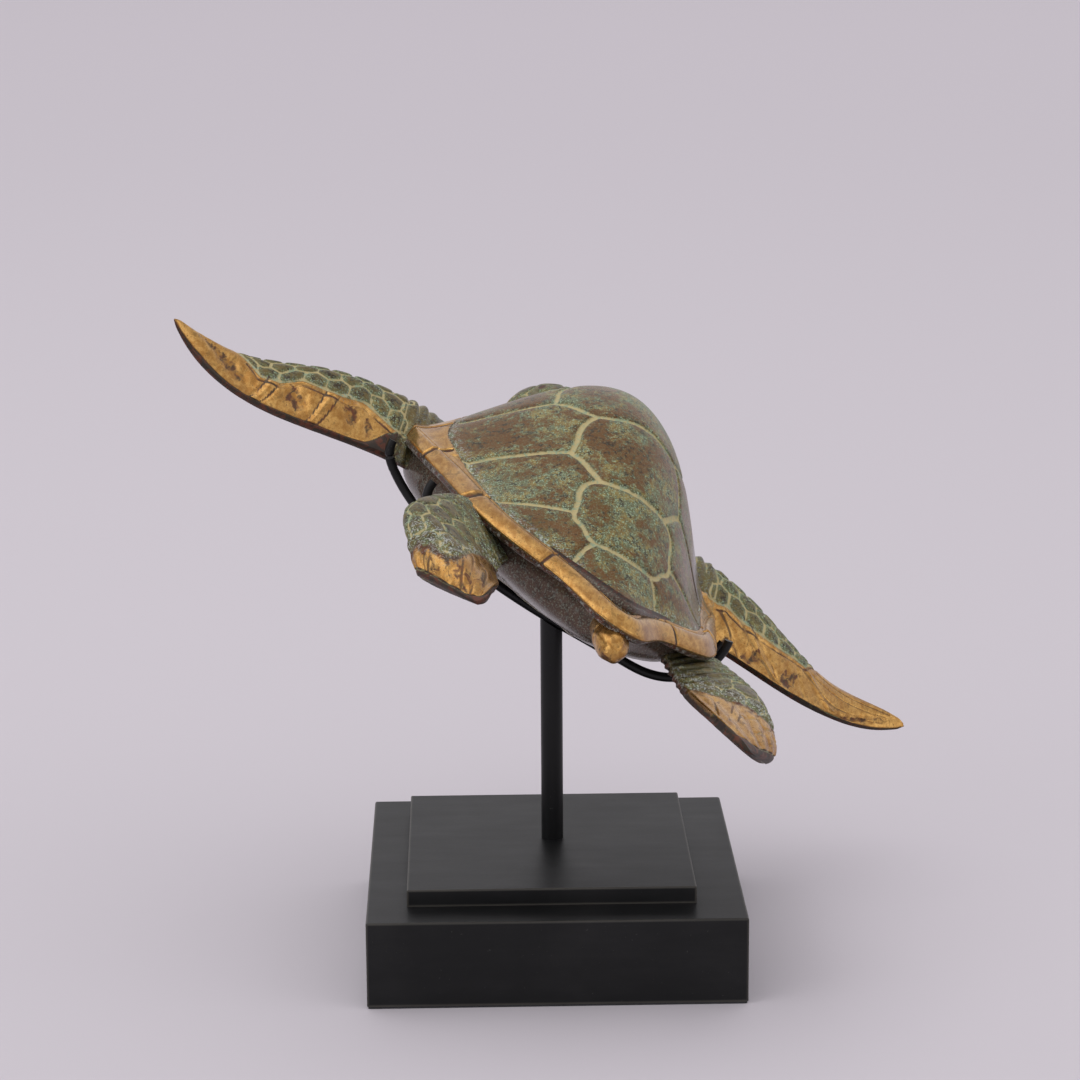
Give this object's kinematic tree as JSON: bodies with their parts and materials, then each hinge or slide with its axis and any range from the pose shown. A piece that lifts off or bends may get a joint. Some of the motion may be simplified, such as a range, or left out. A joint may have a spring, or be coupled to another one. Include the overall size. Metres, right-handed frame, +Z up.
{
  "type": "turtle figurine on stand",
  "caption": "Cast brass sea turtle in a banked swimming pose, resting on a cradle of bent steel rods above a stepped black wooden base.",
  "frame": {"origin": "centre of the base's underside, on the face that rests on a table", "axes": "+X to the right and +Y away from a viewer facing the front of the base as in the picture, +Z up; the turtle swims to +Y, banked with its right side down"},
  "size_m": [0.3076, 0.2846, 0.2571],
  "materials": {
    "base_felt": "matte felt",
    "base_wood": "satin black paint on wood",
    "black_steel": "satin black paint",
    "zinc_steel": "bright zinc plate",
    "shell_brass": "brown and green patina, pale seams",
    "hull_brass": "smooth dark brown patina",
    "limb_brass": "green patina over rubbed gold brass",
    "tail_brass": "rubbed gold brass"
  },
  "bodies": {
    "stand": {"base_felt": "base_felt", "base_block": "base_wood", "plinth_plate": "base_wood", "post": "black_steel", "post_washer": "zinc_steel", "post_nut": "zinc_steel", "cradle_front_rod": "black_steel", "cradle_rear_rod": "black_steel"},
    "turtle": {"carapace": "shell_brass", "plastron": "hull_brass", "head": "limb_brass", "tail": "tail_brass", "front_flipper_left": "limb_brass", "front_flipper_right": "limb_brass", "rear_flipper_left": "limb_brass", "rear_flipper_right": "limb_brass"}
  },
  "joints": [
    {"name": "turtle_lift", "type": "slide", "parent": "stand", "child": "turtle", "axis": [0.544, 0.1337, 0.8283], "range_m": [0, 0.06]}
  ]
}
